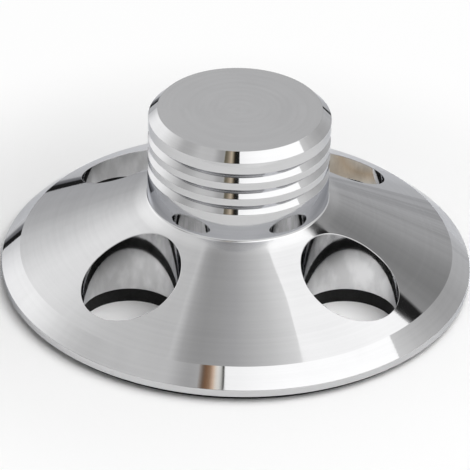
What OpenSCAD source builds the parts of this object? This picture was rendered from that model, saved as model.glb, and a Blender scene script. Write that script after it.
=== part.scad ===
// Record weight clamp: a turned, mirror-polished metal weight that drops over a turntable's
// spindle and presses a record flat. A grooved grip stands on a wide conical skirt, four large
// round holes run down through the skirt, and a soft pad under the skirt rests on the record's label.
// Millimetres, +Z up. The origin is the centre of the pad's underside, on the spindle's axis.

/* [Rim] */
// Outside diameter of the metal body
rim_d = 80; // [70:0.5:95]
// Height of the upright edge round the rim
rim_h = 1.4; // [0.6:0.1:3]
// Small edge break round the rim's lower corner
rim_break = 0.2; // [0.1:0.05:0.4]
// Width of the bevel inside the rim, along the radius
bevel_w = 3.1; // [1.5:0.1:4.5]
// Height that the bevel climbs
bevel_rise = 2.6; // [1:0.1:4]

/* [Skirt] */
// Height that the straight cone climbs, from the bevel to the grip
cone_rise = 10.4; // [7:0.1:14]
// Radius of the small fillet where the cone meets the grip
neck_fillet_r = 0.4; // [0.3:0.1:1.2]

/* [Grip] */
// Diameter of the grip
grip_d = 30.7; // [27:0.1:34]
// Height of the grip above the cone, up to its top face
grip_h = 16.5; // [14.5:0.1:22]
// Width and height of the chamfer round the top face
grip_chamfer = 1.5; // [0.5:0.1:2.5]

/* [Grooves] */
// Number of V grooves round the grip
groove_count = 3; // [1:1:4]
// Width of a groove's mouth
groove_w = 1.75; // [1:0.05:2.2]
// Depth of a groove
groove_depth = 0.87; // [0.4:0.01:1.2]
// Distance from one groove to the next
groove_pitch = 3.05; // [2.6:0.05:3.5]
// Plain band between the chamfer and the first groove
first_land_h = 2.05; // [1:0.05:2.5]

/* [Holes] */
// Number of round holes through the skirt
hole_count = 4; // [3:1:4]
// Diameter of each hole
hole_d = 16.5; // [10:0.1:17]
// Where the holes' centres lie in the skirt, from the grip's side at 0 to the rim's edge at 1
hole_place_share = 0.42; // [0.4:0.01:0.48]

/* [Spindle bore] */
// Diameter of the blind bore that slips over the spindle
bore_d = 7.3; // [7.25:0.01:7.6]
// Depth of the bore's straight wall, from the seat of the pad
bore_depth = 22; // [14:0.5:24]
// Width of the lead-in chamfer at the bore's mouth
bore_lead_in = 0.8; // [0.3:0.1:1.5]

/* [Pad] */
// Thickness of the soft pad
pad_t = 2.5; // [1.6:0.1:3.5]
// How far the pad stands out below the metal rim
pad_proud = 1; // [0.5:0.1:1.4]
// Width of the metal lip left round the pad
pad_lip_w = 1; // [0.6:0.1:2]
// Gap all round between the pad and the lip
pad_edge_gap = 0.1; // [0.05:0.01:0.2]
// How much wider than the metal the pad's holes are cut, on each side
pad_hole_relief = 0.1; // [0.05:0.01:0.2]
// Diameter of the opening in the pad round the spindle
pad_eye_d = 14; // [10:0.5:20]

/* [Hidden] */
$fn = 96;
// Overrun of every cut past the face that it opens
cut_over = 1;
// Included angle of the drill's point at the closed end of the bore
drill_point_angle = 118;
// Angle of the first hole; the others follow at equal steps
first_hole_angle = 45;

rim_r = rim_d / 2;
grip_r = grip_d / 2;
bore_r = bore_d / 2;
hole_r = hole_d / 2;
hole_circle_r = grip_r + hole_place_share * (rim_r - grip_r);

rim_base_z = pad_proud;
rim_top_z = rim_base_z + rim_h;
cone_base_r = rim_r - bevel_w;
cone_base_z = rim_top_z + bevel_rise;
neck_z = cone_base_z + cone_rise;
top_z = neck_z + grip_h;
shoulder_z = top_z - grip_chamfer;
first_groove_z = shoulder_z - first_land_h - groove_w / 2;

recess_r = rim_r - pad_lip_w;
pad_r = recess_r - pad_edge_gap;
drill_point_h = bore_r / tan(drill_point_angle / 2);

// Slope of the cone below the horizontal, and the half angle of the corner between it and the grip
cone_angle = atan2(cone_rise, cone_base_r - grip_r);
neck_half_angle = (90 + cone_angle) / 2;
neck_tangent = neck_fillet_r / tan(neck_half_angle);

// Half of the section: rim, bevel, cone, grip and top chamfer
module turned_outline() {
    polygon([
        [0, rim_base_z],
        [rim_r - rim_break, rim_base_z],
        [rim_r, rim_base_z + rim_break],
        [rim_r, rim_top_z],
        [cone_base_r, cone_base_z],
        [grip_r, neck_z],
        [grip_r, shoulder_z],
        [grip_r - grip_chamfer, top_z],
        [0, top_z]
    ]);
}

// Metal left in the corner between cone and grip: the corner's kite less the tool's nose
module neck_fillet() {
    nose_r = grip_r + neck_fillet_r;
    nose_z = neck_z + neck_tangent;
    difference() {
        polygon([
            [grip_r, neck_z],
            [grip_r + neck_tangent * cos(cone_angle), neck_z - neck_tangent * sin(cone_angle)],
            [nose_r, nose_z],
            [grip_r, nose_z]
        ]);
        translate([nose_r, nose_z])
            circle(r = neck_fillet_r);
    }
}

// One V cut into the grip's side, its mouth widened by the overrun along the same slopes
module groove_cut(z) {
    slope = groove_w / 2 / groove_depth;
    mouth = (groove_depth + cut_over) * slope;
    polygon([
        [grip_r - groove_depth, z],
        [grip_r + cut_over, z - mouth],
        [grip_r + cut_over, z + mouth]
    ]);
}

module turned_section() {
    difference() {
        union() {
            turned_outline();
            neck_fillet();
        }
        for (i = [0 : groove_count - 1])
            groove_cut(first_groove_z - i * groove_pitch);
    }
}

// Straight holes down through the skirt, shared by the metal and the pad
module skirt_holes(radius) {
    for (i = [0 : hole_count - 1])
        rotate(first_hole_angle + i * 360 / hole_count)
            translate([hole_circle_r, 0, -cut_over])
                cylinder(r = radius, h = neck_z + 2 * cut_over);
}

// Blind bore with a lead-in at its mouth and the drill's cone at its closed end
module spindle_bore() {
    translate([0, 0, pad_t - cut_over])
        cylinder(r = bore_r, h = bore_depth + cut_over);
    translate([0, 0, pad_t + bore_depth])
        cylinder(r1 = bore_r, r2 = 0, h = drill_point_h);
    translate([0, 0, pad_t - cut_over])
        cylinder(r1 = bore_r + bore_lead_in + cut_over, r2 = bore_r, h = bore_lead_in + cut_over);
}

// The shallow seat for the pad in the underside
module pad_recess() {
    translate([0, 0, rim_base_z - cut_over])
        cylinder(r = recess_r, h = pad_t - rim_base_z + cut_over);
}

module body() {
    color("silver")
        difference() {
            rotate_extrude()
                turned_section();
            pad_recess();
            skirt_holes(hole_r);
            spindle_bore();
        }
}

module label_pad() {
    color("dimgray")
        difference() {
            cylinder(r = pad_r, h = pad_t);
            skirt_holes(hole_r + pad_hole_relief);
            translate([0, 0, -cut_over])
                cylinder(d = pad_eye_d, h = pad_t + 2 * cut_over);
        }
}

body();
label_pad();
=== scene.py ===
# %% [markdown]
# # A record weight clamp
#
# The real object is one block of steel, turned on a lathe, drilled four times and polished
# until it mirrors the room, with a thin black pad stuck into its underside. It slips over a
# turntable's spindle, and its weight presses the record flat.
#
# This lesson dresses the packed CAD model. The CAD node for the body is made of flat facets,
# which a mirror finish would show at once, so the body is turned again here, with far more
# steps round, on exactly the same sizes. Everything is in metres, in the CAD model's frame:
# +Z is up the spindle, and the pad's underside rests on Z = 0.

# %% Load the packed model
import math

import bmesh
import bpy
import numpy as np
from mathutils import Matrix, Vector


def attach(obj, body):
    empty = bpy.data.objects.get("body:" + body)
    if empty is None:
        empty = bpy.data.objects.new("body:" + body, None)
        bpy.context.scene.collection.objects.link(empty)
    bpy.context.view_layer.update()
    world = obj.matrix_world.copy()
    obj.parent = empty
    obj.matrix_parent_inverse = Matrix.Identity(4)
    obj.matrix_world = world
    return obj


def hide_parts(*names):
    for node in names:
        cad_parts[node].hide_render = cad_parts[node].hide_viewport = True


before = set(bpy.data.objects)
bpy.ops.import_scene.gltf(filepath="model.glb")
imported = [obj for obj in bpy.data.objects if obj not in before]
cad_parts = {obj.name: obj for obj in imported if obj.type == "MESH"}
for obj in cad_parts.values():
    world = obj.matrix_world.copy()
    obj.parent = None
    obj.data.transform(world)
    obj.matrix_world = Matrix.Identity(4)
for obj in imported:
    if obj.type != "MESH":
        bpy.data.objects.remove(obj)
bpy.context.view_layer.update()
MM = 0.001

# %% [markdown]
# ## The camera
#
# The photograph was taken with a long lens, from almost eight times the object's width away,
# about a third of the way up from the floor. From there the ellipses of the rim and the grip
# have almost the same shape. The place of the lens is given as a photographer would describe
# it: how far it looks down, how far off it stands, how far it is turned to one side, and how
# much the picture leans.

# %% Place the camera
LENS_MM = 278.2
SENSOR_MM = 36.0
LENS_RISE = math.radians(32.635)
LENS_REACH = 622.54 * MM
LENS_TURN = math.radians(-2.752)
PICTURE_LEAN = math.radians(1.601)
AIM = Vector((-0.276, 0.0, 6.006)) * MM
RIM_BASE_Z = 1.0 * MM
# The camera sees nothing nearer or further than this
SEEN_FROM = 50 * MM
SEEN_TO = 50.0

lens_at = Vector((0, -LENS_REACH * math.cos(LENS_RISE), LENS_REACH * math.sin(LENS_RISE)))
ahead = (AIM - lens_at).normalized()
level = ahead.cross(Vector((0, 0, 1))).normalized()
above = level.cross(ahead)
picture_right = level * math.cos(PICTURE_LEAN) + above * math.sin(PICTURE_LEAN)
picture_up = above * math.cos(PICTURE_LEAN) - level * math.sin(PICTURE_LEAN)
placed = Matrix((picture_right, picture_up, -ahead)).transposed().to_4x4()
placed.translation = lens_at
placed = Matrix.Translation((0, 0, RIM_BASE_Z)) @ Matrix.Rotation(LENS_TURN, 4, "Z") @ placed

camera_data = bpy.data.cameras.new("studio_camera")
camera_data.lens = LENS_MM
camera_data.sensor_width = SENSOR_MM
camera_data.clip_start = SEEN_FROM
camera_data.clip_end = SEEN_TO
camera = bpy.data.objects.new("studio_camera", camera_data)
camera.matrix_world = placed
scene = bpy.context.scene
scene.collection.objects.link(camera)
scene.camera = camera
scene.view_settings.view_transform = "Standard"
print("camera at, mm:", [round(v / MM, 1) for v in camera.location])

# %% [markdown]
# ## Two sets of helpers
#
# Every modelling operator acts on whatever is selected, so each piece starts with a clean
# selection. Materials and the light of the room are both built from nodes, so a few short
# calls for the nodes keep the recipes readable.

# %% Helpers for modelling by hand
def select_only(*objects):
    """Selects just these objects, the first one active."""
    if bpy.context.object and bpy.context.object.mode != "OBJECT":
        bpy.ops.object.mode_set(mode="OBJECT")
    bpy.ops.object.select_all(action="DESELECT")
    for each in objects:
        each.select_set(True)
    bpy.context.view_layer.objects.active = objects[0] if objects else None


def named(name):
    """Names the object that an operator has just added, and hands it back."""
    made = bpy.context.object
    made.name = name
    made.data.name = name
    return made


def size_text(piece):
    """A line that says how large a piece's mesh is."""
    triangles = sum(len(p.vertices) - 2 for p in piece.data.polygons)
    return f"{piece.name}: {len(piece.data.vertices)} points, {triangles} triangles"


print("modelling helpers:", [helper.__name__ for helper in (select_only, named, size_text)])


# %% Helpers for nodes
# How closely an edge is looked for, and how far the two normals agree: at an edge, and off it
EDGE_SAMPLES = 4
EDGE_AGREES = (0.80, 0.99)


class Wiring:
    """Short calls that add one node each, or a few, and hand back the output."""

    def __init__(self, tree, emptied=False):
        self.nodes, self.links = tree.nodes, tree.links
        if emptied:
            self.nodes.clear()

    def put(self, socket, value):
        """Joins another node's output to a socket, or sets the socket to a plain value."""
        if isinstance(value, bpy.types.NodeSocket):
            self.links.new(value, socket)
        else:
            socket.default_value = value

    def coordinates(self, kind):
        """Where a point is: Object in its mesh, UV on a flat sheet, Generated out in the air."""
        return self.nodes.new("ShaderNodeTexCoord").outputs[kind]

    def arithmetic(self, operation, *values):
        """One sum on numbers."""
        node = self.nodes.new("ShaderNodeMath")
        node.operation = operation
        for socket, value in zip(node.inputs, values):
            self.put(socket, value)
        return node.outputs[0]

    def vector(self, operation, *values):
        """One sum on vectors."""
        node = self.nodes.new("ShaderNodeVectorMath")
        node.operation = operation
        for socket, value in zip(node.inputs, values):
            self.put(socket, value)
        return node.outputs["Value" if operation in ("DOT_PRODUCT", "LENGTH") else "Vector"]

    def split(self, vector):
        """The x, y and z of a vector."""
        node = self.nodes.new("ShaderNodeSeparateXYZ")
        self.put(node.inputs[0], vector)
        return node.outputs

    def join(self, x, y, z):
        """A vector from three numbers."""
        node = self.nodes.new("ShaderNodeCombineXYZ")
        for socket, value in zip(node.inputs, (x, y, z)):
            self.put(socket, value)
        return node.outputs[0]

    def colour(self, red, green, blue):
        """A colour from three numbers."""
        node = self.nodes.new("ShaderNodeCombineColor")
        for socket, value in zip(node.inputs, (red, green, blue)):
            self.put(socket, value)
        return node.outputs[0]

    def fade(self, value, start, end, low, high):
        """A soft step: low up to start, high from end on."""
        node = self.nodes.new("ShaderNodeMapRange")
        node.interpolation_type = "SMOOTHSTEP"
        for name, part in (("Value", value), ("From Min", start), ("From Max", end),
                           ("To Min", low), ("To Max", high)):
            self.put(node.inputs[name], part)
        return node.outputs["Result"]

    def noise(self, place, scale, detail):
        """Soft random patches, mostly between 0.3 and 0.7."""
        node = self.nodes.new("ShaderNodeTexNoise")
        self.put(node.inputs["Vector"], place)
        node.inputs["Scale"].default_value = scale
        node.inputs["Detail"].default_value = detail
        return node.outputs[0]

    def blend(self, share, one, other):
        """Between two numbers: one where share is 0, the other where it is 1."""
        node = self.nodes.new("ShaderNodeMix")
        for socket, value in zip(node.inputs[:1] + node.inputs[2:4], (share, one, other)):
            self.put(socket, value)
        return node.outputs[0]

    def bands(self, value, stops, unit=1.0):
        """Colours by place: stops are (place, red, green, blue), in rising order."""
        node = self.nodes.new("ShaderNodeValToRGB")
        ramp = node.color_ramp
        while len(ramp.elements) < len(stops):
            ramp.elements.new(1.0)
        low, high = stops[0][0], stops[-1][0]
        for element, (place, *colour) in zip(ramp.elements, stops):
            element.position = (place - low) / (high - low)
            element.color = (*colour, 1)
        across = self.arithmetic("SUBTRACT", value, low * unit)
        self.put(node.inputs["Fac"], self.arithmetic("DIVIDE", across, (high - low) * unit))
        return node.outputs["Color"]

    def near_edge(self, reach):
        """1 at an edge, where a rounded normal parts from the face's own, and 0 away from it."""
        node = self.nodes.new("ShaderNodeBevel")
        node.samples = EDGE_SAMPLES
        node.inputs["Radius"].default_value = reach
        own = self.nodes.new("ShaderNodeNewGeometry").outputs["Normal"]
        agrees = self.vector("DOT_PRODUCT", node.outputs[0], own)
        return self.fade(agrees, *EDGE_AGREES, 1.0, 0.0)

    def relief(self, height):
        """The normal of a surface with this height, in metres."""
        node = self.nodes.new("ShaderNodeBump")
        node.inputs["Strength"].default_value = 1.0
        node.inputs["Distance"].default_value = 1.0
        self.put(node.inputs["Height"], height)
        return node.outputs[0]


def finish(name):
    """A new material, with its wiring and its Principled shader."""
    made = bpy.data.materials.new(name)
    made.use_nodes = True
    return made, Wiring(made.node_tree), made.node_tree.nodes["Principled BSDF"]


print("node helpers:", [name for name in vars(Wiring) if not name.startswith("_")])

# %% [markdown]
# ## The floor
#
# The floor is plain and white, as in the photograph. More light would turn it as white as the
# photograph's background, but would wash out the metal too. So a little way off the floor's
# material turns into a white glow, for the camera and for what the metal mirrors, and only
# the floor near the object keeps its shadow.

# %% Lay the floor
FLOOR_RADIUS = 4.0
ROUND_STEPS = 128
FLOOR_WHITE = 0.95
FLOOR_ROUGHNESS = 0.9

white_floor, paving, shader = finish("white_floor")
shader.inputs["Base Color"].default_value = (FLOOR_WHITE, FLOOR_WHITE, FLOOR_WHITE, 1)
shader.inputs["Roughness"].default_value = FLOOR_ROUGHNESS
shader.inputs["Specular IOR Level"].default_value = 0.0
select_only()
bpy.ops.mesh.primitive_circle_add(vertices=ROUND_STEPS, radius=FLOOR_RADIUS, fill_type="NGON")
floor = named("floor")
floor.data.materials.append(white_floor)
print(size_text(floor))

# %% Turn the floor white away from the object
# How far out the floor starts to turn white, how far out it has, and how fully
WHITE_FROM = 44 * MM
WHITE_AT = 80 * MM
WHITE_SHARE = 0.92

plain_white = paving.nodes.new("ShaderNodeEmission")
blended = paving.nodes.new("ShaderNodeMixShader")
whitened = paving.fade(paving.vector("LENGTH", paving.coordinates("Object")),
                       WHITE_FROM, WHITE_AT, 0.0, WHITE_SHARE)
rays = paving.nodes.new("ShaderNodeLightPath").outputs
seen = paving.arithmetic("MAXIMUM", rays["Is Camera Ray"], rays["Is Glossy Ray"])
seen = paving.arithmetic("MAXIMUM", seen, rays["Is Transmission Ray"])
paving.put(blended.inputs["Fac"], paving.arithmetic("MULTIPLY", whitened, seen))
paving.links.new(shader.outputs[0], blended.inputs[1])
paving.links.new(plain_white.outputs[0], blended.inputs[2])
paving.links.new(blended.outputs[0], paving.nodes["Material Output"].inputs["Surface"])
print("floor white from", round(WHITE_AT / MM), "mm on")

# %% [markdown]
# ## The air
#
# Polished metal has no colour of its own: what we see on it is the room. So the studio is the
# larger half of this finish. The air round the object is a soft grey, brighter to the back
# left, where a wall catches the light, and dimmer to the back right. The camera's own side is
# dark, and the V grooves, which send light straight back, show it as thin dark lines.

# %% What is in the air
AIR = 0.79
# How much of the air's light a matt surface does without, so that the lamp casts a shadow
AIR_HELD_BACK = 0.5
# Name, strength, azimuth, rise and reach in degrees
SOFT_PATCHES = [
    ("bright_wall", 0.62, -52, 28, 35),
    ("wall_foot", 0.50, -42, 1, 25),
    ("dim_corner", -0.47, 42, 33, 37),
    ("dim_shelves", -0.09, 23, 6, 18),
    ("low_gap", -0.23, -1, -1, 48),
    ("softbox_spill", 0.13, 90, 40, 16),
    ("left_flag", -0.60, -105, 31, 22),
    ("gap_shade", -0.36, -148, 60, 10),
    ("dark_front", -0.65, -168, 22, 36),
]
# The room's shelves and corners lie level, so its mottle is drawn out sideways. A noise is
# given by its scale and its detail
MOTTLE = 0.05
MOTTLE_STRETCH = (1.0, 1.0, 7.0)
MOTTLE_NOISE = (4.0, 3.0)
# Shelves to the back right show on the cone as faint stripes
SHELF_CONTRAST = 0.10
SHELF_STRETCH = (1.0, 1.0, 12.0)
SHELF_NOISE = (5.0, 1.0)
SHELF_EDGES = (0.40, 0.60)
SHELVES_AT = (24, 6)
SHELVES_REACH = math.radians(20)
print("patches in the air:", [patch[0] for patch in SOFT_PATCHES])


# %% Wire the air
def toward(azimuth, rise):
    """The direction that lies azimuth degrees from +Y towards +X and rise degrees up."""
    a, e = math.radians(azimuth), math.radians(rise)
    return Vector((math.cos(e) * math.sin(a), math.cos(e) * math.cos(a), math.sin(e)))


def off_centre(wiring, looking, azimuth, rise):
    """The angle between where a ray looks and a direction, in radians."""
    towards = wiring.vector("DOT_PRODUCT", looking, toward(azimuth, rise))
    return wiring.arithmetic("ARCCOSINE", towards)


world = bpy.data.worlds.new("studio_air")
scene.world = world
world.use_nodes = True
sky = Wiring(world.node_tree, emptied=True)
looking = sky.coordinates("Generated")
mottle = sky.noise(sky.vector("MULTIPLY", looking, MOTTLE_STRETCH), *MOTTLE_NOISE)
light = sky.arithmetic("MULTIPLY_ADD", mottle, 2 * MOTTLE, AIR - MOTTLE)
for name, strength, azimuth, rise, reach in SOFT_PATCHES:
    away = off_centre(sky, looking, azimuth, rise)
    light = sky.arithmetic("ADD", light, sky.fade(away, 0.0, math.radians(reach), strength, 0.0))
stripes = sky.noise(sky.vector("MULTIPLY", looking, SHELF_STRETCH), *SHELF_NOISE)
contrast = sky.fade(off_centre(sky, looking, *SHELVES_AT), 0.0, SHELVES_REACH, SHELF_CONTRAST, 0.0)
light = sky.arithmetic(
    "MULTIPLY_ADD", sky.fade(stripes, *SHELF_EDGES, -0.5, 0.5), contrast, light)
on_matt = sky.nodes.new("ShaderNodeLightPath").outputs["Is Diffuse Ray"]
light = sky.arithmetic(
    "MULTIPLY", light, sky.arithmetic("MULTIPLY_ADD", on_matt, -AIR_HELD_BACK, 1.0))
air = sky.nodes.new("ShaderNodeBackground")
air.inputs["Color"].default_value = (1, 1, 1, 1)
sky.put(air.inputs["Strength"], light)
sky.links.new(air.outputs[0], sky.nodes.new("ShaderNodeOutputWorld").inputs["Surface"])
print("air nodes:", len(world.node_tree.nodes))

# %% [markdown]
# ## The cards that the metal mirrors
#
# One big softbox hangs over the object, to its right, and leans towards it: its right side is
# the lower one. Left of the softbox is a gap, which the cone shows as a grey wedge. The gap
# ends at the softbox's stand, a warm streak with a dark frame. Each of these is a card of
# glowing colour in one leaning plane. The camera doesn't see the cards, only the metal does.

# %% How a card is made
SOFTBOX_Z = 490 * MM
SOFTBOX_LEAN = 0.685
NEARLY_BLACK = 0.02


def glow(name):
    """A material that only glows, with its wiring and its Emission node."""
    made = bpy.data.materials.new(name)
    made.use_nodes = True
    wiring = Wiring(made.node_tree, emptied=True)
    lit = wiring.nodes.new("ShaderNodeEmission")
    wiring.links.new(lit.outputs[0], wiring.nodes.new("ShaderNodeOutputMaterial").inputs["Surface"])
    return made, wiring, lit


def card(name, corners, material, drop):
    """A flat card in the softbox's leaning plane: corners in mm, drop is how far below it."""
    select_only()
    bpy.ops.mesh.primitive_circle_add(vertices=len(corners), radius=1, fill_type="NGON")
    made = named(name)
    for vert, (x, y) in zip(made.data.vertices, corners):
        vert.co = Vector((x, y, -SOFTBOX_LEAN * x)) * MM
        vert.co.z += SOFTBOX_Z - drop
    made.data.materials.append(material)
    made.visible_camera = False
    return made


print("softbox:", round(SOFTBOX_Z / MM), "mm over the floor, slope", SOFTBOX_LEAN)

# %% The softbox
SOFTBOX_CORNERS = [(-80, -420), (325, -420), (325, 158), (60, 158)]
SOFTBOX_STRENGTH = 1.64
# It glows a little less along its left edge, which runs aslant
EDGE_STRENGTH = 1.44
EDGE_X = 100 * MM
EDGE_SLANT = 0.52
EDGE_FADE = 180 * MM

cloth, wiring, lit = glow("softbox_cloth")
x, y, _ = wiring.split(wiring.coordinates("Object"))
inside = wiring.arithmetic(
    "MULTIPLY_ADD", y, -EDGE_SLANT, wiring.arithmetic("SUBTRACT", x, EDGE_X))
wiring.put(lit.inputs["Strength"],
           wiring.fade(inside, 0.0, EDGE_FADE, EDGE_STRENGTH, SOFTBOX_STRENGTH))
softbox = card("softbox", SOFTBOX_CORNERS, cloth, 0.0)
print(size_text(softbox))

# %% The gap and the stand
# Places across each card in mm, then the colour there. The stops were chosen one by one, until
# the metal's reflections matched the photograph's
GAP_BANDS = [
    (-150, 0.82, 0.82, 0.82), (-142, 0.80, 0.80, 0.80), (-119, 0.56, 0.56, 0.56),
    (-95, 0.475, 0.475, 0.475), (-72, 0.45, 0.45, 0.45), (-40, 0.48, 0.48, 0.48),
    (2, 0.55, 0.55, 0.555), (32, 0.66, 0.66, 0.66), (70, 0.81, 0.81, 0.81),
    (93, 0.95, 0.95, 0.95), (106, 1.02, 1.02, 1.02), (116, 1.10, 1.10, 1.10),
]
STAND_BANDS = [
    (-139, 0.50, 0.46, 0.43), (-130, 0.35, 0.30, 0.27), (-122, 0.20, 0.14, 0.10),
    (-110, 0.26, 0.14, 0.08), (-94, 0.39, 0.25, 0.16), (-86, 0.67, 0.46, 0.33),
    (-79, 0.94, 0.71, 0.55), (-72, 1.06, 0.96, 0.85), (-62, 1.09, 1.06, 1.02),
    (-53, 0.85, 0.85, 0.82), (-47, 0.40, 0.40, 0.38), (-45, 0.06, 0.06, 0.05),
    (-41, 0.06, 0.06, 0.05), (-39, 0.90, 0.90, 0.90),
]
FOOT_BANDS = [
    (-166, 0.45, 0.44, 0.36), (-160, 0.19, 0.17, 0.12), (-148, 0.18, 0.16, 0.12),
    (-125, 0.29, 0.25, 0.18), (-103, 0.51, 0.43, 0.34), (-85, 0.74, 0.62, 0.48),
    (-72, 0.47, 0.42, 0.32), (-62, 0.23, 0.19, 0.13), (-53, 0.07, 0.05, 0.04),
    (-44, 0.02, 0.02, 0.015), (-12, 0.02, 0.02, 0.02), (-6, 0.60, 0.60, 0.60),
]
# Name, bands, how far below the softbox's plane in mm, and corners
BANDED_CARDS = [
    ("gap", GAP_BANDS, 1.0, [
        (-150, -210), (-8, -210), (116, -60), (116, 34), (106, 44), (60, 110), (-150, 200)]),
    ("stand", STAND_BANDS, 2.0, [(-139, -305), (-39, -281), (-39, -205), (-139, -205)]),
    ("stand_foot", FOOT_BANDS, 2.0, [
        (-166, -420), (-6, -420), (-6, -281), (-39, -281), (-139, -305), (-166, -311)]),
]
for name, stops, drop, corners in BANDED_CARDS:
    material, wiring, lit = glow(name + "_glow")
    x = wiring.split(wiring.coordinates("Object"))[0]
    wiring.put(lit.inputs["Color"], wiring.bands(x, stops, MM))
    print(size_text(card(name, corners, material, drop * MM)))

# %% A dark bracket with soft edges, behind the softbox's back edge
BRACKET_AT = (254, 190)
BRACKET_CORNERS = [(214, 152), (294, 152), (294, 230), (214, 230)]
BRACKET_DROP = 3 * MM
BRACKET_DARK_R = 24 * MM
BRACKET_CLEAR_R = 34 * MM

bracket_dark, wiring, lit = glow("bracket_dark")
lit.inputs["Strength"].default_value = NEARLY_BLACK
x, y, _ = wiring.split(wiring.coordinates("Object"))
from_centre = wiring.vector("LENGTH", wiring.join(
    wiring.arithmetic("SUBTRACT", x, BRACKET_AT[0] * MM),
    wiring.arithmetic("SUBTRACT", y, BRACKET_AT[1] * MM), 0.0))
edged = wiring.nodes.new("ShaderNodeMixShader")
wiring.put(edged.inputs["Fac"],
           wiring.fade(from_centre, BRACKET_DARK_R, BRACKET_CLEAR_R, 0.0, 1.0))
wiring.links.new(lit.outputs[0], edged.inputs[1])
wiring.links.new(wiring.nodes.new("ShaderNodeBsdfTransparent").outputs[0], edged.inputs[2])
wiring.links.new(edged.outputs[0], wiring.nodes["Material Output"].inputs["Surface"])
print(size_text(card("bracket", BRACKET_CORNERS, bracket_dark, BRACKET_DROP)))

# %% [markdown]
# ## What lies on the floor, out of the picture
#
# The back of the cone looks along the floor to the horizon. The white sheet ends a little way
# off, on a greyer table, whose glow is painted light: brighter near the sheet and where the
# softbox lights it. A dark board lies to the back left, with its soft shadow in front of
# it, and the rim and the cone both show it as a short black stroke. A warm paper lies under
# the back right hole, and a dark sheet far behind it.

# %% The table round the white sheet
SHEET_REACH = 64 * MM
# Heights in mm over the floor, so that one thing can lie on another
FIRST_LAYER = 0.3
SECOND_LAYER = 0.6
# The table's painted light: its glow at the sheet's edge and further off, and what it loses to the
# horizon
TABLE_GLOW = 0.86
FURTHER_GLOW = 0.75
FURTHER_OFF = 120 * MM
LOST_GLOW = 0.07
LOST_AT = 2.5
# Painted light: the table glows more in front of the softbox, to the right, where the softbox
# lights it: azimuth and rise, the cosines between which the light grows, and how much it adds
LIT_SIDE = (137, 0)
LIT_EDGES = (0.5, 0.95)
LIT_GAIN = 0.22


def on_the_floor_only(made, material):
    """Makes a piece of the studio that only mirrors see: it neither shades nor lights."""
    made.data.materials.append(material)
    made.visible_camera = False
    made.visible_diffuse = False
    made.visible_shadow = False


table_painted_glow, wiring, lit = glow("table_painted_glow")
spot = wiring.coordinates("Object")
far = wiring.vector("LENGTH", spot)
table_light = wiring.arithmetic(
    "SUBTRACT", wiring.fade(far, SHEET_REACH, FURTHER_OFF, TABLE_GLOW, FURTHER_GLOW),
    wiring.fade(far, FURTHER_OFF, LOST_AT, 0.0, LOST_GLOW))
in_front = wiring.vector("DOT_PRODUCT", wiring.vector("NORMALIZE", spot), toward(*LIT_SIDE))
wiring.put(lit.inputs["Strength"], wiring.arithmetic(
    "ADD", table_light, wiring.fade(in_front, *LIT_EDGES, 0.0, LIT_GAIN)))

select_only()
bpy.ops.mesh.primitive_circle_add(
    vertices=ROUND_STEPS, radius=SHEET_REACH, location=(0, 0, FIRST_LAYER * MM))
table = named("table")
bpy.ops.object.transform_apply(location=True)
bpy.ops.object.mode_set(mode="EDIT")
bpy.ops.mesh.select_all(action="SELECT")
bpy.ops.mesh.extrude_edges_move()
bpy.ops.transform.resize(value=(FLOOR_RADIUS / SHEET_REACH, FLOOR_RADIUS / SHEET_REACH, 1))
bpy.ops.object.mode_set(mode="OBJECT")
on_the_floor_only(table, table_painted_glow)
print(size_text(table))

# %% Board, shadow, paper and dark sheet
# Places in mm
BOARD_ENDS = [(-111, 100), (-61, 227)]
BOARD_HEIGHTS = (5.5, 8.0)
SHADOW_NEAR = [(-57, 30), (-38, 118)]
PAPER_CORNERS = [(11.5, 11.5), (25.0, 11.5), (11.5, 25.0), (25.0, 25.0)]
DARK_SHEET_CORNERS = [(107, 209), (131, 195), (163, 321), (201, 298)]
# Shares of the way from the shadow's near edge to the board, then the colour there
SHADOW_BANDS = [
    (0.0, 0.80, 0.80, 0.80), (0.09, 0.55, 0.55, 0.55), (0.20, 0.28, 0.28, 0.29),
    (0.6, 0.22, 0.22, 0.23), (0.85, 0.05, 0.05, 0.05), (1.0, 0.02, 0.02, 0.02),
]
# Shares of the way across the paper, then the colour there
PAPER_BANDS = [
    (0.0, 0.42, 0.40, 0.37), (0.2, 0.50, 0.46, 0.40), (0.4, 0.43, 0.35, 0.26),
    (0.55, 0.52, 0.46, 0.38), (0.7, 0.56, 0.55, 0.51), (1.0, 0.56, 0.56, 0.53),
]


def quad(name, corners, material):
    """Four corners in mm: two of the first edge, then two of the edge across from it."""
    select_only()
    bpy.ops.mesh.primitive_plane_add(size=1)
    made = named(name)
    for vert, corner in zip(made.data.vertices, corners):
        vert.co = Vector(corner) * MM
    on_the_floor_only(made, material)
    print(name, "corners, mm:", corners)


def lying(corners, height):
    """The same corners, all at one height."""
    return [(x, y, height) for x, y in corners]


board_black, wiring, lit = glow("board_black")
lit.inputs["Strength"].default_value = NEARLY_BLACK
board_top = [(x, y, height) for (x, y), height in zip(BOARD_ENDS, BOARD_HEIGHTS)]
quad("board", lying(BOARD_ENDS, 0) + board_top, board_black)
shadow_grey, wiring, lit = glow("shadow_grey")
toward_board = wiring.split(wiring.coordinates("UV"))[1]
wiring.put(lit.inputs["Color"], wiring.bands(toward_board, SHADOW_BANDS))
quad("board_shadow", lying(SHADOW_NEAR + BOARD_ENDS, SECOND_LAYER), shadow_grey)
paper_warm, wiring, lit = glow("paper_warm")
across_paper = wiring.split(wiring.coordinates("UV"))[0]
wiring.put(lit.inputs["Color"], wiring.bands(across_paper, PAPER_BANDS))
quad("paper", lying(PAPER_CORNERS, FIRST_LAYER), paper_warm)
quad("dark_sheet", lying(DARK_SHEET_CORNERS, SECOND_LAYER), board_black)

# %% [markdown]
# ## A lamp for the shadow
#
# The cards are there for the metal to mirror. The floor needs more: a real lamp in the
# softbox's place, which the metal doesn't mirror, lays the soft shadow round the weight.

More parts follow.
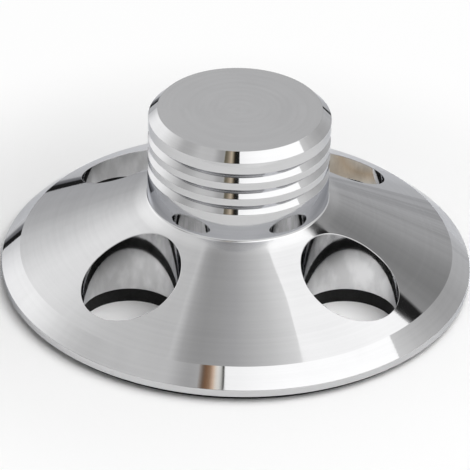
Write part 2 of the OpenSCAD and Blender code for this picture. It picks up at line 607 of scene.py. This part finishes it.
# %% A lamp in the softbox's place
LAMP_ENERGY = 0.9
LAMP_SIDES = (400 * MM, 500 * MM)
LAMP_AT = Vector((140, -130, 380)) * MM

lamp_data = bpy.data.lights.new("softbox_lamp", "AREA")
lamp_data.shape = "RECTANGLE"
lamp_data.size, lamp_data.size_y = LAMP_SIDES
lamp_data.energy = LAMP_ENERGY
lamp = bpy.data.objects.new("softbox_lamp", lamp_data)
lamp.location = LAMP_AT
lamp.rotation_euler = (0, math.atan(SOFTBOX_LEAN), 0)
lamp.visible_glossy = False
lamp.visible_camera = False
scene.collection.objects.link(lamp)
print("lamp energy:", LAMP_ENERGY, "W")

# %% [markdown]
# ## The body, turned on a lathe
#
# The outline of half the section is drawn as one line of points, and spun round the axis, the
# way a lathe tool follows a template. Corners on real turned steel are never knife sharp: the
# polishing wheel takes them back by a tenth of a millimetre, and that tiny round catches a
# thin line of light. So each corner that the wheel reaches has its own small radius.

# %% Sizes of the body
RIM_R = 40.0 * MM
RIM_TOP_Z = 2.4 * MM
RIM_BREAK = 0.2 * MM
BEVEL_INNER_R = 36.9 * MM
BEVEL_TOP_Z = 5.0 * MM
GRIP_R = 15.35 * MM
NECK_Z = 15.4 * MM
NECK_FILLET_R = 0.4 * MM
SHOULDER_Z = 30.4 * MM
TOP_Z = 31.9 * MM
GRIP_CHAMFER = 1.5 * MM
GROOVE_W = 1.75 * MM
GROOVE_DEPTH = 0.87 * MM
GROOVE_PITCH = 3.05 * MM
FIRST_GROOVE_Z = 27.475 * MM
GROOVE_COUNT = 3
RECESS_R = 39.0 * MM
SEAT_Z = 2.5 * MM
BORE_R = 3.65 * MM
BORE_TOP_Z = 24.5 * MM
DRILL_POINT = math.radians(118)
BORE_POINT_H = BORE_R / math.tan(DRILL_POINT / 2)
LEAD_IN = 0.8 * MM
EDGE_R = 0.10 * MM
GROOVE_EDGE_R = 0.12 * MM
GROOVE_ROOT_R = 0.05 * MM
print("body, mm:", round(2 * RIM_R / MM, 1), "across and",
      round((TOP_Z - RIM_BASE_Z) / MM, 1), "tall")

# %% The outline, corner by corner
# Radius, height and corner radius, from the bore's point down, round the rim and up the grip
outline = [
    (0, BORE_TOP_Z + BORE_POINT_H, 0),
    (BORE_R, BORE_TOP_Z, 0),
    (BORE_R, SEAT_Z + LEAD_IN, 0),
    (BORE_R + LEAD_IN, SEAT_Z, 0),
    (RECESS_R, SEAT_Z, 0),
    (RECESS_R, RIM_BASE_Z, 0),
    (RIM_R - RIM_BREAK, RIM_BASE_Z, 0),
    (RIM_R, RIM_BASE_Z + RIM_BREAK, 0),
    (RIM_R, RIM_TOP_Z, EDGE_R),
    (BEVEL_INNER_R, BEVEL_TOP_Z, EDGE_R),
    (GRIP_R, NECK_Z, NECK_FILLET_R),
]
for i in reversed(range(GROOVE_COUNT)):
    z = FIRST_GROOVE_Z - i * GROOVE_PITCH
    outline += [
        (GRIP_R, z - GROOVE_W / 2, GROOVE_EDGE_R),
        (GRIP_R - GROOVE_DEPTH, z, GROOVE_ROOT_R),
        (GRIP_R, z + GROOVE_W / 2, GROOVE_EDGE_R),
    ]
outline += [
    (GRIP_R, SHOULDER_Z, EDGE_R),
    (GRIP_R - GRIP_CHAMFER, TOP_Z, EDGE_R),
    (0, TOP_Z, 0),
]
print("outline corners:", len(outline))

# %% Round the corners of the outline
ARC_STEP = math.radians(7.5)


def rounded(corners):
    """The outline as (radius, height) points, each corner replaced by its own small arc.

    The first and last corners are neighbours, as in a closed outline. Where the outline is
    open, its two ends have the corner radius 0.
    """
    points = []
    for i, (r, z, size) in enumerate(corners):
        here = Vector((r, z))
        if size == 0:
            points.append(here)
            continue
        back = (Vector(corners[i - 1][:2]) - here).normalized()
        on = (Vector(corners[(i + 1) % len(corners)][:2]) - here).normalized()
        half = math.acos(max(-1, min(1, back.dot(on)))) / 2
        turn = math.pi - 2 * half
        centre = here + (back + on).normalized() * (size / math.sin(half))
        start = here + back * (size / math.tan(half)) - centre
        steps = max(2, math.ceil(turn / ARC_STEP))
        sign = 1 if back.cross(on) < 0 else -1
        for k in range(steps + 1):
            points.append(centre + Matrix.Rotation(sign * turn * k / steps, 2) @ start)
    return points


profile = rounded(outline)
print("outline points:", len(profile))

# %% Draw the outline and spin it
TURNED_STEPS = 500
SAME_POINT = 1e-7


def turned_piece(name, points, steps):
    """Extrudes one point along the outline, then spins the line once round the Z axis."""
    select_only()
    bpy.ops.mesh.primitive_plane_add(size=1)
    piece = named(name)
    bpy.ops.object.mode_set(mode="EDIT")
    bpy.ops.mesh.select_mode(type="VERT")
    bpy.ops.mesh.merge(type="CENTER")
    bpy.ops.transform.translate(value=(points[0].x, 0, points[0].y))
    for a, b in zip(points, points[1:]):
        bpy.ops.mesh.extrude_region_move(
            TRANSFORM_OT_translate={"value": (b.x - a.x, 0, b.y - a.y)})
    bpy.ops.mesh.select_all(action="SELECT")
    bpy.ops.mesh.spin(steps=steps, angle=2 * math.pi, center=(0, 0, 0), axis=(0, 0, 1))
    bpy.ops.mesh.select_all(action="SELECT")
    bpy.ops.mesh.remove_doubles(threshold=SAME_POINT)
    bpy.ops.mesh.normals_make_consistent(inside=False)
    bpy.ops.object.mode_set(mode="OBJECT")
    return piece


body = turned_piece("turned_body", profile, TURNED_STEPS)
print(size_text(body))

# %% [markdown]
# ## Four holes through the skirt
#
# The holes are bored straight down through the slope, so each mouth is a long oval on the
# cone. A fine countersink takes the sharp edge off, and the light runs round it as a thin
# bright line.

# %% Drill the holes
HOLE_R = 8.25 * MM
HOLE_CIRCLE_R = 25.703 * MM
HOLE_COUNT = 4
FIRST_HOLE_ANGLE = math.radians(45)
DRILL_STEPS = 192
DRILL_LENGTH = 40 * MM
DRILL_Z = 10 * MM

hole_angles = [FIRST_HOLE_ANGLE + i * 2 * math.pi / HOLE_COUNT for i in range(HOLE_COUNT)]
hole_axes = [(HOLE_CIRCLE_R * math.cos(a), HOLE_CIRCLE_R * math.sin(a)) for a in hole_angles]


def drill_through(piece, radius, name):
    """Cuts the ring of round holes straight down through a piece."""
    for angle, (x, y) in zip(hole_angles, hole_axes):
        select_only()
        bpy.ops.mesh.primitive_cylinder_add(
            vertices=DRILL_STEPS, radius=radius, depth=DRILL_LENGTH,
            location=(x, y, DRILL_Z), rotation=(0, 0, angle))
        drill = named(name)
        cut = piece.modifiers.new("drill", "BOOLEAN")
        cut.object = drill
        cut.operation = "DIFFERENCE"
        cut.solver = "EXACT"
        select_only(piece)
        bpy.ops.object.modifier_apply(modifier=cut.name)
        bpy.data.objects.remove(drill)


drill_through(body, HOLE_R, "skirt_drill")
print(size_text(body))

# %% Break the edges of the holes
HOLE_EDGE_BREAK = 0.09 * MM
ON_THE_WALL = 0.004 * MM
SHARP_FROM = math.radians(20)


def break_hole_edges(piece, radius, width):
    """Selects the sharp edges round the holes by their place, and bevels them."""
    select_only(piece)
    bpy.ops.object.mode_set(mode="EDIT")
    bpy.ops.mesh.select_mode(type="EDGE")
    bpy.ops.mesh.select_all(action="DESELECT")
    shape = bmesh.from_edit_mesh(piece.data)
    picked = 0
    for edge in shape.edges:
        if len(edge.link_faces) != 2 or edge.calc_face_angle() < SHARP_FROM:
            continue
        off_the_wall = max(
            min(abs(math.hypot(vert.co.x - x, vert.co.y - y) - radius) for x, y in hole_axes)
            for vert in edge.verts)
        if off_the_wall < ON_THE_WALL:
            edge.select = True
            picked += 1
    bmesh.update_edit_mesh(piece.data)
    bpy.ops.mesh.bevel(
        offset=width, segments=2, affect="EDGES", clamp_overlap=False, loop_slide=False)
    bpy.ops.object.mode_set(mode="OBJECT")
    print(piece.name, "hole edges broken:", picked)


break_hole_edges(body, HOLE_R, HOLE_EDGE_BREAK)

# %% [markdown]
# ## Normals as true as the lathe
#
# A mirror shows every small error of direction. Each face is still flat between two of the
# steps round, so the shading gets the exact direction of the cone, of the cylinder or of the
# hole's wall at every corner of a face that lies on one. Only the tiny rounds in between stay
# blended.

# %% Give the long faces their exact normals
SAME_PLACE = 0.003 * MM
SHORTEST_SIDE = 0.25 * MM
SMOOTH_UP_TO = math.radians(9)


def true_normals(piece, corners, hole_radius):
    """Sets the normals of all faces that lie wholly on a straight of the outline or on a hole."""
    mesh = piece.data
    corner_vert = np.empty(len(mesh.loops), np.int32)
    mesh.loops.foreach_get("vertex_index", corner_vert)
    points = np.empty(len(mesh.vertices) * 3)
    mesh.vertices.foreach_get("co", points)
    x, y, z = points.reshape(-1, 3)[corner_vert].T
    normals = np.empty(len(mesh.loops) * 3)
    mesh.corner_normals.foreach_get("vector", normals)
    normals = normals.reshape(-1, 3)
    starts = np.empty(len(mesh.polygons), np.int32)
    mesh.polygons.foreach_get("loop_start", starts)
    totals = np.empty(len(mesh.polygons), np.int32)
    mesh.polygons.foreach_get("loop_total", totals)
    reach = np.hypot(x, y)
    done = 0

    def give(off, normal):
        """Where all of a face's corners are closer than SAME_PLACE, they get this normal."""
        faces = np.maximum.reduceat(off, starts) < SAME_PLACE
        here = np.repeat(faces, totals)
        normals[here] = np.stack(normal, axis=1)[here]
        return int(faces.sum())

    for (r0, z0, _), (r1, z1, _) in zip(corners, corners[1:]):
        length = math.hypot(r1 - r0, z1 - z0)
        if length < SHORTEST_SIDE:
            continue
        out_r, out_z = (z1 - z0) / length, (r0 - r1) / length
        off = np.abs((reach - r0) * out_r + (z - z0) * out_z)
        along = ((reach - r0) * (r1 - r0) + (z - z0) * (z1 - z0)) / length
        off = np.where((along < -SAME_PLACE) | (along > length + SAME_PLACE), 1.0, off)
        safe = np.maximum(reach, SAME_PLACE)
        done += give(off, (out_r * x / safe, out_r * y / safe, np.full_like(x, out_z)))
    for hole_x, hole_y in hole_axes:
        in_x, in_y = hole_x - x, hole_y - y
        span = np.hypot(in_x, in_y)
        done += give(np.abs(span - hole_radius), (in_x / span, in_y / span, np.zeros_like(x)))
    mesh.normals_split_custom_set(normals)
    print(piece.name, "faces with true normals:", done, "of", len(mesh.polygons))


select_only(body)
bpy.ops.object.shade_smooth_by_angle(angle=SMOOTH_UP_TO)
even = body.modifiers.new("even_normals", "WEIGHTED_NORMAL")
even.mode = "FACE_AREA"
even.weight = 100
even.keep_sharp = True
bpy.ops.object.modifier_apply(modifier=even.name)
true_normals(body, outline, HOLE_R)
print(size_text(body))

# %% [markdown]
# ## The metal
#
# Polished steel reflects a little over half of the light that falls on it, almost without
# colour. Two things tell it from a drawn mirror. The lathe and the polishing wheel leave
# rings far finer than a hair, which stretch each reflection along the slope. And the wheel
# never reaches everywhere: the holes' walls keep the marks of the boring tool, the top face
# keeps a fine satin, the underside is left as turned, the corner where the cone meets the
# grip stays duller, and the edges dull first with handling. On the holes' walls and in that
# corner the colour is also made paler: painted light, so that what they mirror shows brighter.
#
# So the recipe starts with masks, each 1 on its own part of the body and 0 elsewhere. The
# colour, the roughness and the relief are then mixed by the same masks.

# %% Polished steel: where each finish is
# The start and end of each mask's soft edge: radii, heights, or how far a face looks up
TOP_SKIN = (TOP_Z - 0.04 * MM, TOP_Z - 0.01 * MM)
LEVEL_LOOK = (0.1, 0.3)
SKIRT_FROM = (GRIP_R + 0.6 * MM, GRIP_R + 0.8 * MM)
SKIRT_TO = (36.0 * MM, 36.5 * MM)
BORE_TO = (4.5 * MM, 4.6 * MM)
UNDER_THE_TOP = (TOP_Z - 3 * MM, TOP_Z - 2 * MM)
DOWN_LOOK = (-0.8, -0.7)
CORNER_TO = (GRIP_R + 1.0 * MM, GRIP_R + 2.8 * MM)
CORNER_BELOW = (NECK_Z + 0.2 * MM, NECK_Z + 0.5 * MM)

metal, steel, shader = finish("polished_steel")
place = steel.coordinates("Object")
x, y, z = steel.split(place)
reach = steel.vector("LENGTH", steel.join(x, y, 0.0))
looks_up = steel.split(steel.nodes.new("ShaderNodeNewGeometry").outputs["Normal"])[2]

top_face = steel.fade(z, *TOP_SKIN, 0.0, 1.0)
upright = steel.fade(steel.arithmetic("ABSOLUTE", looks_up), *LEVEL_LOOK, 1.0, 0.0)
in_skirt = steel.arithmetic("MULTIPLY", steel.fade(reach, *SKIRT_FROM, 0.0, 1.0),
                            steel.fade(reach, *SKIRT_TO, 1.0, 0.0))
hole_wall = steel.arithmetic("MULTIPLY", upright, in_skirt)
in_bore = steel.arithmetic("MULTIPLY", steel.fade(reach, *BORE_TO, 1.0, 0.0),
                           steel.fade(z, *UNDER_THE_TOP, 1.0, 0.0))
below = steel.arithmetic("MAXIMUM", in_bore, steel.fade(looks_up, *DOWN_LOOK, 1.0, 0.0))
in_corner = steel.arithmetic("MULTIPLY", steel.fade(reach, *CORNER_TO, 1.0, 0.0),
                             steel.fade(z, *CORNER_BELOW, 1.0, 0.0))

# Edges are worn in patches, a millimetre or so long
WEAR_REACH = 0.25 * MM
WEAR_NOISE = (900, 3.0)
# Where a noise's patches start and end: soft or firmer ones
SOFT = (0.3, 0.7)
FIRMER = (0.35, 0.65)
LEAST_WEAR = 0.25
worn = steel.arithmetic("MULTIPLY", steel.near_edge(WEAR_REACH),
                        steel.fade(steel.noise(place, *WEAR_NOISE), *FIRMER, LEAST_WEAR, 1.0))
print("nodes for the masks:", len(metal.node_tree.nodes))

# %% Polished steel: colour
STEEL = 0.6
CLOUDS = 0.010
CLOUD_NOISE = (110, 3.0)
# The lathe's rings: the same at one radius and height, all the way round but for a slow drift
RING_CONTRAST = 0.06
RING_NOISE = (1400, 3.0)
RING_DRIFT = 0.0004
# Painted light: the holes' walls are made paler, so that the floor they mirror shows brighter
WALL_PAINTED_LIGHT = 0.15
WALL_STRETCH = (1.0, 1.0, 0.5)
WALL_NOISE = (420, 3.0)
# Painted light: the corner by the grip is made paler, so that the grip it mirrors shows lighter
CORNER_PAINTED_LIGHT = 0.10
WORN_PALER = 0.03
BLUER = 0.005

round_about = steel.arithmetic("ARCTAN2", y, x)
ring_place = steel.join(reach, z, steel.arithmetic("MULTIPLY", round_about, RING_DRIFT))
ring_marks = steel.noise(ring_place, *RING_NOISE)
wall_clouds = steel.noise(steel.vector("MULTIPLY", place, WALL_STRETCH), *WALL_NOISE)
tone = steel.fade(steel.noise(place, *CLOUD_NOISE), *SOFT, STEEL - CLOUDS, STEEL + CLOUDS)
tone = steel.arithmetic(
    "MULTIPLY_ADD", steel.arithmetic("SUBTRACT", ring_marks, 0.5), RING_CONTRAST, tone)
# On the holes' walls: the bored finish's cloudy mottle, made paler as painted light
tone = steel.blend(hole_wall, tone, steel.fade(wall_clouds, *FIRMER, STEEL, STEEL + WALL_PAINTED_LIGHT))
# In the corner by the grip, painted light: a paler colour
tone = steel.arithmetic("MULTIPLY_ADD", in_corner, CORNER_PAINTED_LIGHT, tone)
tone = steel.blend(worn, tone, STEEL + WORN_PALER)
steel.put(shader.inputs["Base Color"],
          steel.colour(tone, tone, steel.arithmetic("ADD", tone, BLUER)))
shader.inputs["Metallic"].default_value = 1
# Real steel and chrome reflect a little less of the light that only grazes them
GRAZING_TINT = (0.74, 0.75, 0.78, 1)
shader.inputs["Specular Tint"].default_value = GRAZING_TINT
print("nodes with the colour:", len(metal.node_tree.nodes))

# %% Polished steel: roughness
MIRROR_ROUGHNESS = 0.035
HAZE_LESS, HAZE_MORE = 0.01, 0.02
HAZE_NOISE = (160, 4.0)
TOP_ROUGHNESS = 0.22
WALL_ROUGHNESS = 0.06
CORNER_ROUGHNESS = 0.12
BELOW_ROUGHNESS = 0.30
WORN_ROUGHER = 0.07

rough = steel.fade(steel.noise(place, *HAZE_NOISE), *SOFT,
                   MIRROR_ROUGHNESS - HAZE_LESS, MIRROR_ROUGHNESS + HAZE_MORE)
rough = steel.blend(top_face, rough, TOP_ROUGHNESS)
rough = steel.blend(hole_wall, rough, WALL_ROUGHNESS)
rough = steel.blend(in_corner, rough, CORNER_ROUGHNESS)
rough = steel.blend(below, rough, BELOW_ROUGHNESS)
rough = steel.arithmetic("ADD", rough, steel.arithmetic("MULTIPLY", worn, WORN_ROUGHER))
steel.put(shader.inputs["Roughness"], rough)
print("nodes with the roughness:", len(metal.node_tree.nodes))

# %% Polished steel: relief
# Heights of the polisher's slow waves, the lathe's rings and the boring tool's strokes
WAVE_HEIGHT = 0.006 * MM
WAVE_NOISE = (120, 1.0)
RING_HEIGHT = 0.0008 * MM
TOP_RING_HEIGHT = 0.004 * MM
BELOW_RING_HEIGHT = 0.012 * MM
FINE_RING_NOISE = (2600, 2.0)
STROKE_HEIGHT = 0.003 * MM
STROKE_STRETCH = (1.0, 1.0, 0.06)
STROKE_NOISE = (2200, 2.0)

rings = steel.noise(ring_place, *FINE_RING_NOISE)
ring_height = steel.blend(top_face, RING_HEIGHT, TOP_RING_HEIGHT)
ring_height = steel.blend(below, ring_height, BELOW_RING_HEIGHT)
strokes = steel.noise(steel.vector("MULTIPLY", place, STROKE_STRETCH), *STROKE_NOISE)
stroke_height = steel.arithmetic("MULTIPLY", hole_wall, STROKE_HEIGHT)
waves = steel.arithmetic("MULTIPLY", steel.noise(place, *WAVE_NOISE), WAVE_HEIGHT)
height = steel.arithmetic("MULTIPLY_ADD", rings, ring_height, waves)
height = steel.arithmetic("MULTIPLY_ADD", strokes, stroke_height, height)
steel.put(shader.inputs["Normal"], steel.relief(height))
print("nodes with the relief:", len(metal.node_tree.nodes))

# %% Dress the body
body.data.materials.clear()
body.data.materials.append(metal)
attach(body, "root")
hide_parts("body")
print(body.name, "materials:", [material.name for material in body.data.materials])

# %% [markdown]
# ## The pad
#
# A ring of black rubber, punched with the same four holes and stuck into the shallow seat. It
# stands a millimetre proud, so the metal never touches the record. Only its edge shows in the
# photograph, as a black band at the foot of each hole.

# %% Turn and punch the pad
PAD_R = 38.9 * MM
PAD_T = 2.5 * MM
PAD_HOLE_R = 8.35 * MM
PAD_EYE_R = 7.0 * MM
PAD_EDGE_R = 0.2 * MM
PAD_STEPS = 256
PAD_SMOOTH_UP_TO = math.radians(20)
# Punching leaves a few pairs of points that all but touch
PAD_MERGE = 0.002 * MM

pad_section = [(PAD_EYE_R, 0), (PAD_R, 0), (PAD_R, PAD_T), (PAD_EYE_R, PAD_T)]
pad_outline = rounded([(r, z, PAD_EDGE_R) for r, z in pad_section])
pad = turned_piece("label_pad_rubber", pad_outline + pad_outline[:1], PAD_STEPS)
drill_through(pad, PAD_HOLE_R, "pad_punch")
select_only(pad)
bpy.ops.object.mode_set(mode="EDIT")
bpy.ops.mesh.select_all(action="SELECT")
bpy.ops.mesh.remove_doubles(threshold=PAD_MERGE)
bpy.ops.object.mode_set(mode="OBJECT")
bpy.ops.object.shade_smooth_by_angle(angle=PAD_SMOOTH_UP_TO)
print(size_text(pad))

# %% [markdown]
# ## The rubber
#
# Soft rubber is never one even black: it has cloudy blotches, a grain that is too fine to see
# but keeps it matt, and edges rubbed a little paler. All of these stay faint: the photograph
# shows the pad as a plain black band.

# %% Matt rubber
# The darkest and the palest black, and what a rubbed edge adds
BLACKS = (0.006, 0.011)
RUBBED_PALER = 0.008
RUB_REACH = 0.3 * MM
RUBBER_ROUGHNESS = (0.68, 0.85)
RUBBER_GLOSS = 0.3
BLOTCH_NOISE = (260, 4.0)
GRAIN_NOISE = (4200, 2.0)
BLOTCH_HEIGHT = 0.02 * MM
GRAIN_HEIGHT = 0.010 * MM

rubber, skin, shader = finish("matt_rubber")
place = skin.coordinates("Object")
blotches = skin.noise(place, *BLOTCH_NOISE)
grain = skin.noise(place, *GRAIN_NOISE)
black = skin.arithmetic("MULTIPLY_ADD", skin.near_edge(RUB_REACH), RUBBED_PALER,
                        skin.fade(blotches, *SOFT, *BLACKS))
skin.put(shader.inputs["Base Color"], skin.colour(black, black, black))
skin.put(shader.inputs["Roughness"], skin.fade(grain, *SOFT, *RUBBER_ROUGHNESS))
skin.put(shader.inputs["Normal"], skin.relief(skin.arithmetic(
    "MULTIPLY_ADD", grain, GRAIN_HEIGHT, skin.arithmetic("MULTIPLY", blotches, BLOTCH_HEIGHT))))
shader.inputs["Specular IOR Level"].default_value = RUBBER_GLOSS
pad.data.materials.clear()
pad.data.materials.append(rubber)
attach(pad, "root")
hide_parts("label_pad")
print("rubber nodes:", len(rubber.node_tree.nodes))

# %% [markdown] ## The dressed model The turned body and the punched pad stand in for the CAD
# model's body and pad, which are hidden.
